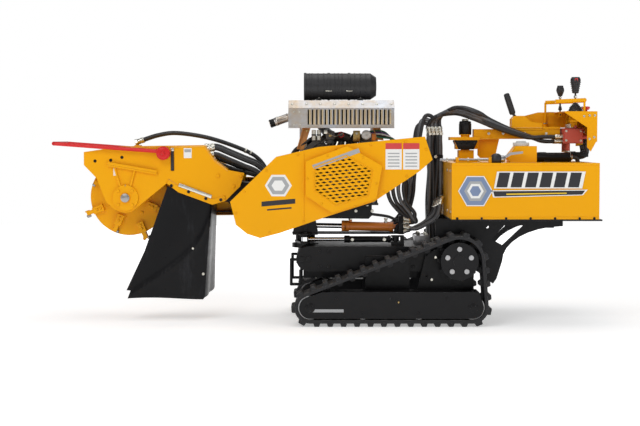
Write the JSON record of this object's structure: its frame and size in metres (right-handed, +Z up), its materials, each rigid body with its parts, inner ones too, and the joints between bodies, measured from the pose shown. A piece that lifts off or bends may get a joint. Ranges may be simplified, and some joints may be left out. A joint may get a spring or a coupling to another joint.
{
  "type": "stump grinder",
  "caption": "Self-propelled tracked stump grinder with a swinging, lifting boom, belt-driven toothed cutter disc, chip curtain and swing-out control station.",
  "frame": {"origin": "on the ground, midway between the tracks and at the middle of their footprint", "axes": "+X towards the operator's end, -X towards the cutter, Y across the machine, +Z up"},
  "size_m": [2.9691, 0.902, 1.366],
  "materials": {
    "yellow_paint": "gloss powder coat",
    "black_paint": "satin powder coat",
    "red_paint": "gloss paint",
    "orange_paint": "gloss paint",
    "track_rubber": "moulded rubber",
    "hose_rubber": "smooth hose",
    "flap_rubber": "reinforced sheet",
    "belt_rubber": "V-belt",
    "bare_steel": "machined",
    "chrome_rod": "hard chrome",
    "aluminised": "aluminised sheet",
    "engine_alloy": "cast and painted",
    "black_plastic": "moulded",
    "grey_plastic": "moulded",
    "red_plastic": "moulded",
    "valve_red": "cast and painted",
    "carbide_steel": "forged"
  },
  "bodies": {
    "chassis": {"chassis_frame": "black_paint", "tie_down_loops": "black_paint", "rear_support_plates": "black_paint", "platform": "black_paint", "kingpin": "bare_steel", "track_frames": "black_paint", "track_belt_left": "track_rubber", "track_belt_right": "track_rubber", "drive_motors": "bare_steel", "tank_housing": "yellow_paint", "fuel_tank": "black_plastic", "hydraulic_tank": "grey_plastic", "battery": "black_plastic", "filler_box": "yellow_paint", "return_filter": "black_paint", "station_post": "yellow_paint", "hose_column": "hose_rubber", "swing_barrel": "black_paint"},
    "left_sprocket": {"sprocket_left": "black_paint"},
    "right_sprocket": {"sprocket_right": "black_paint"},
    "left_front_idler": {"front_idler_left": "bare_steel"},
    "right_front_idler": {"front_idler_right": "bare_steel"},
    "left_rear_idler": {"rear_idler_left": "bare_steel"},
    "right_rear_idler": {"rear_idler_right": "bare_steel"},
    "left_front_roller": {"front_roller_left": "bare_steel"},
    "right_front_roller": {"front_roller_right": "bare_steel"},
    "left_rear_roller": {"rear_roller_left": "bare_steel"},
    "right_rear_roller": {"rear_roller_right": "bare_steel"},
    "cap": {"fuel_cap": "grey_plastic"},
    "lock": {"lock_rod": "bare_steel"},
    "station": {"station_arm": "yellow_paint", "console_body": "yellow_paint", "valve_bank": "valve_red"},
    "gimbal": {"joystick_gimbal": "bare_steel"},
    "stick": {"joystick": "black_plastic"},
    "boom_control": {"boom_stick": "black_plastic"},
    "travel_control": {"travel_lever": "black_plastic"},
    "stop": {"stop_button": "red_plastic"},
    "key": {"key_switch": "bare_steel"},
    "swing_ram": {"swing_rod": "chrome_rod"},
    "turret": {"swing_frame": "black_paint", "lift_pin": "bare_steel"},
    "lift_cylinder": {"lift_barrel": "orange_paint"},
    "lift_ram": {"lift_rod": "chrome_rod"},
    "boom": {"boom_base": "black_paint", "boom_head": "yellow_paint", "chip_curtain": "flap_rubber", "boom_hoses": "hose_rubber", "drive_belts": "belt_rubber", "belt_guard": "yellow_paint", "far_belt_cover": "yellow_paint", "engine": "engine_alloy", "exhaust": "aluminised", "air_cleaner": "black_plastic"},
    "cutter": {"cutter_wheel": "yellow_paint", "cutter_teeth": "yellow_paint"},
    "jack": {"jackshaft": "bare_steel"},
    "crank": {"engine_pulley": "bare_steel"},
    "pump": {"pump_pulley": "bare_steel"},
    "bar": {"guard_bar": "red_paint"}
  },
  "joints": [
    {"name": "swing", "type": "hinge", "parent": "chassis", "child": "turret", "pos_m": [-0.46, 0, 0.475], "axis": [0, 0, 1], "range_deg": [-22, 22]},
    {"name": "lift", "type": "hinge", "parent": "turret", "child": "boom", "pos_m": [-0.46, 0, 0.64], "axis": [0, 1, 0], "range_deg": [-32, 0]},
    {"name": "lift_cylinder_pivot", "type": "hinge", "parent": "turret", "child": "lift_cylinder", "pos_m": [0.06, -0.03, 0.508], "axis": [0, 1, 0], "range_deg": [0, 3.2]},
    {"name": "lift_ram_slide", "type": "slide", "parent": "lift_cylinder", "child": "lift_ram", "axis": [-0.9998, 0, 0.0192], "range_m": [-0.07, 0]},
    {"name": "swing_ram_slide", "type": "slide", "parent": "chassis", "child": "swing_ram", "axis": [1, 0, 0], "range_m": [-0.057, 0.057]},
    {"name": "cutter_spin", "type": "hinge", "parent": "boom", "child": "cutter", "pos_m": [-1.441, -0.05, 0.679], "axis": [0, 1, 0], "continuous": true},
    {"name": "jackshaft_spin", "type": "hinge", "parent": "boom", "child": "jack", "pos_m": [-0.662, 0, 0.673], "axis": [0, 1, 0], "continuous": true},
    {"name": "engine_spin", "type": "hinge", "parent": "boom", "child": "crank", "pos_m": [-0.255, -0.35, 0.775], "axis": [0, 1, 0], "continuous": true},
    {"name": "pump_spin", "type": "hinge", "parent": "boom", "child": "pump", "pos_m": [0.115, -0.35, 0.925], "axis": [0, 1, 0], "continuous": true},
    {"name": "guard_bar_fold", "type": "hinge", "parent": "boom", "child": "bar", "pos_m": [-1.231, 0, 0.923], "axis": [0, 1, 0], "range_deg": [0, 80]},
    {"name": "station_swing", "type": "hinge", "parent": "chassis", "child": "station", "pos_m": [0.435, 0, 1], "axis": [0, 0, 1], "range_deg": [-100, 0]},
    {"name": "joystick_roll", "type": "hinge", "parent": "station", "child": "gimbal", "pos_m": [1.024, -0.15, 1.148], "axis": [1, 0, 0], "range_deg": [-15, 15]},
    {"name": "joystick_pitch", "type": "hinge", "parent": "gimbal", "child": "stick", "pos_m": [1.024, -0.15, 1.148], "axis": [0, 1, 0], "range_deg": [-15, 15]},
    {"name": "boom_stick_tilt", "type": "hinge", "parent": "station", "child": "boom_control", "pos_m": [0.975, 0.054, 1.136], "axis": [0, 1, 0], "range_deg": [-15, 15]},
    {"name": "travel_lever_tilt", "type": "hinge", "parent": "station", "child": "travel_control", "pos_m": [0.737, 0, 1.105], "axis": [0, 1, 0], "range_deg": [-8, 45]},
    {"name": "stop_button_press", "type": "slide", "parent": "station", "child": "stop", "axis": [0, 0, -1], "range_m": [0, 0.006]},
    {"name": "key_turn", "type": "hinge", "parent": "station", "child": "key", "pos_m": [1.1, 0.06, 1.15], "axis": [0, 0, 1], "range_deg": [0, 60]},
    {"name": "fuel_cap_turn", "type": "hinge", "parent": "chassis", "child": "cap", "pos_m": [0.706, -0.3, 0.97], "axis": [0, 0, 1], "range_deg": [0, 90]},
    {"name": "lock_rod_slide", "type": "slide", "parent": "chassis", "child": "lock", "axis": [1, 0, 0], "range_m": [0, 0.045]},
    {"name": "left_track_drive", "type": "hinge", "parent": "chassis", "child": "left_sprocket", "pos_m": [0.365, -0.361, 0.349], "axis": [0, 1, 0], "continuous": true},
    {"name": "left_front_idler_spin", "type": "hinge", "parent": "chassis", "child": "left_front_idler", "pos_m": [-0.431, -0.361, 0.101], "axis": [0, 1, 0], "continuous": true},
    {"name": "left_rear_idler_spin", "type": "hinge", "parent": "chassis", "child": "left_rear_idler", "pos_m": [0.437, -0.361, 0.101], "axis": [0, 1, 0], "continuous": true},
    {"name": "left_front_roller_spin", "type": "hinge", "parent": "chassis", "child": "left_front_roller", "pos_m": [-0.15, -0.361, 0.0725], "axis": [0, 1, 0], "continuous": true},
    {"name": "left_rear_roller_spin", "type": "hinge", "parent": "chassis", "child": "left_rear_roller", "pos_m": [0.15, -0.361, 0.0725], "axis": [0, 1, 0], "continuous": true},
    {"name": "right_track_drive", "type": "hinge", "parent": "chassis", "child": "right_sprocket", "pos_m": [0.365, 0.361, 0.349], "axis": [0, 1, 0], "continuous": true},
    {"name": "right_front_idler_spin", "type": "hinge", "parent": "chassis", "child": "right_front_idler", "pos_m": [-0.431, 0.361, 0.101], "axis": [0, 1, 0], "continuous": true},
    {"name": "right_rear_idler_spin", "type": "hinge", "parent": "chassis", "child": "right_rear_idler", "pos_m": [0.437, 0.361, 0.101], "axis": [0, 1, 0], "continuous": true},
    {"name": "right_front_roller_spin", "type": "hinge", "parent": "chassis", "child": "right_front_roller", "pos_m": [-0.15, 0.361, 0.0725], "axis": [0, 1, 0], "continuous": true},
    {"name": "right_rear_roller_spin", "type": "hinge", "parent": "chassis", "child": "right_rear_roller", "pos_m": [0.15, 0.361, 0.0725], "axis": [0, 1, 0], "continuous": true}
  ],
  "couplings": [
    {"joint": "lift_cylinder_pivot", "follows": "lift", "ratio": -0.0848},
    {"joint": "lift_ram_slide", "follows": "lift", "m_per_rad": 0.1128},
    {"joint": "swing_ram_slide", "follows": "swing", "m_per_rad": 0.146},
    {"joint": "jackshaft_spin", "follows": "cutter_spin", "ratio": 1.1875},
    {"joint": "engine_spin", "follows": "cutter_spin", "ratio": 1.35},
    {"joint": "pump_spin", "follows": "cutter_spin", "ratio": 3.375},
    {"joint": "left_front_idler_spin", "follows": "left_track_drive", "ratio": 1.75},
    {"joint": "left_rear_idler_spin", "follows": "left_track_drive", "ratio": 1.75},
    {"joint": "left_front_roller_spin", "follows": "left_track_drive", "ratio": 3.6},
    {"joint": "left_rear_roller_spin", "follows": "left_track_drive", "ratio": 3.6},
    {"joint": "right_front_idler_spin", "follows": "right_track_drive", "ratio": 1.75},
    {"joint": "right_rear_idler_spin", "follows": "right_track_drive", "ratio": 1.75},
    {"joint": "right_front_roller_spin", "follows": "right_track_drive", "ratio": 3.6},
    {"joint": "right_rear_roller_spin", "follows": "right_track_drive", "ratio": 3.6}
  ]
}
